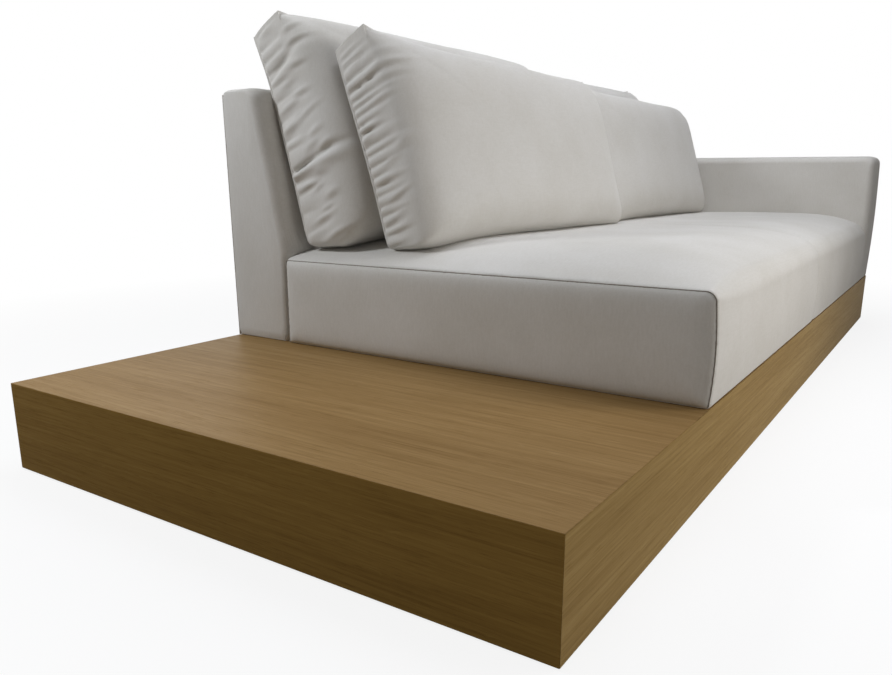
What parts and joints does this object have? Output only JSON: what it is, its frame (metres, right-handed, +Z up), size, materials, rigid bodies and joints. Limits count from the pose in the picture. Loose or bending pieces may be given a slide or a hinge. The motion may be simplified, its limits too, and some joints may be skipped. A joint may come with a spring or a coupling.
{
  "type": "sofa with side table",
  "caption": "Low sofa with an arm at its right end and loose back cushions, on a long oak platform whose bare left end serves as a side table.",
  "frame": {"origin": "on the floor under the middle of the platform, at the lower face of the centre glide", "axes": "+X along the sofa from the table's end to the arm, +Y from its front to its back, +Z up"},
  "size_m": [2.786, 1.163, 0.9196],
  "materials": {
    "oak": "satin oak veneer",
    "plywood": "raw birch plywood",
    "cloth": "fine off-white weave",
    "cushion_cloth": "fine off-white weave",
    "foam": "soft foam",
    "fibre": "loose fibre in a bag",
    "strap": "woven elastic",
    "zip_tape": "woven tape and nylon coil",
    "zip_metal": "dull nickel",
    "steel": "zinc plated",
    "glide": "matte"
  },
  "bodies": {
    "sofa": {"platform_top": "oak", "platform_front_board": "oak", "platform_back_board": "oak", "platform_table_end_board": "oak", "platform_arm_end_board": "oak", "platform_spine": "plywood", "platform_rib_1": "plywood", "platform_rib_2": "plywood", "platform_rib_3": "plywood", "platform_rib_4": "plywood", "glide_blocks": "plywood", "floor_glides": "glide", "seat_front_rail": "plywood", "seat_rear_rail": "plywood", "seat_table_end_rail": "plywood", "seat_arm_end_rail": "plywood", "seat_cross_rails": "plywood", "seat_corner_blocks": "plywood", "seat_straps_short": "strap", "seat_straps_long": "strap", "seat_foam": "foam", "seat_cover": "cloth", "seat_end_panel": "cloth", "back_post_1": "plywood", "back_post_2": "plywood", "back_post_3": "plywood", "back_post_4": "plywood", "back_foot_rail": "plywood", "back_top_rail": "plywood", "back_straps": "strap", "back_rear_board": "plywood", "back_foam": "foam", "back_cover": "cloth", "back_outside_cover": "cloth", "arm_inner_panel": "plywood", "arm_outer_panel": "plywood", "arm_spacers": "plywood", "arm_top_board": "plywood", "arm_foam": "foam", "arm_cover": "cloth", "frame_bolts": "steel", "frame_nuts": "steel"},
    "rear_left_cushion": {"rear_left_cushion_cover": "cushion_cloth", "rear_left_cushion_filling": "fibre", "rear_left_zip": "zip_tape"},
    "rear_left_slider": {"rear_left_zip_slider": "zip_metal"},
    "rear_right_cushion": {"rear_right_cushion_cover": "cushion_cloth", "rear_right_cushion_filling": "fibre", "rear_right_zip": "zip_tape"},
    "rear_right_slider": {"rear_right_zip_slider": "zip_metal"},
    "front_left_cushion": {"front_left_cushion_cover": "cushion_cloth", "front_left_cushion_filling": "fibre", "front_left_zip": "zip_tape"},
    "front_left_slider": {"front_left_zip_slider": "zip_metal"},
    "front_right_cushion": {"front_right_cushion_cover": "cushion_cloth", "front_right_cushion_filling": "fibre", "front_right_zip": "zip_tape"},
    "front_right_slider": {"front_right_zip_slider": "zip_metal"}
  },
  "joints": [
    {"name": "rear_left_lift", "type": "slide", "parent": "sofa", "child": "rear_left_cushion", "axis": [0.0163, 0.2919, 0.9563], "range_m": [0, 0.6]},
    {"name": "rear_left_zip_slide", "type": "slide", "parent": "rear_left_cushion", "child": "rear_left_slider", "axis": [0.9984, -0.0558, 0], "range_m": [0, 0.46]},
    {"name": "rear_right_lift", "type": "slide", "parent": "sofa", "child": "rear_right_cushion", "axis": [0.0163, 0.2919, 0.9563], "range_m": [0, 0.6]},
    {"name": "rear_right_zip_slide", "type": "slide", "parent": "rear_right_cushion", "child": "rear_right_slider", "axis": [0.9984, -0.0558, 0], "range_m": [0, 0.46]},
    {"name": "front_left_lift", "type": "slide", "parent": "sofa", "child": "front_left_cushion", "axis": [0.0163, 0.2919, 0.9563], "range_m": [0, 0.6]},
    {"name": "front_left_zip_slide", "type": "slide", "parent": "front_left_cushion", "child": "front_left_slider", "axis": [0.9984, -0.0558, 0], "range_m": [0, 0.46]},
    {"name": "front_right_lift", "type": "slide", "parent": "sofa", "child": "front_right_cushion", "axis": [0.0082, 0.2923, 0.9563], "range_m": [0, 0.6]},
    {"name": "front_right_zip_slide", "type": "slide", "parent": "front_right_cushion", "child": "front_right_slider", "axis": [0.9996, -0.0279, 0], "range_m": [0, 0.46]}
  ]
}
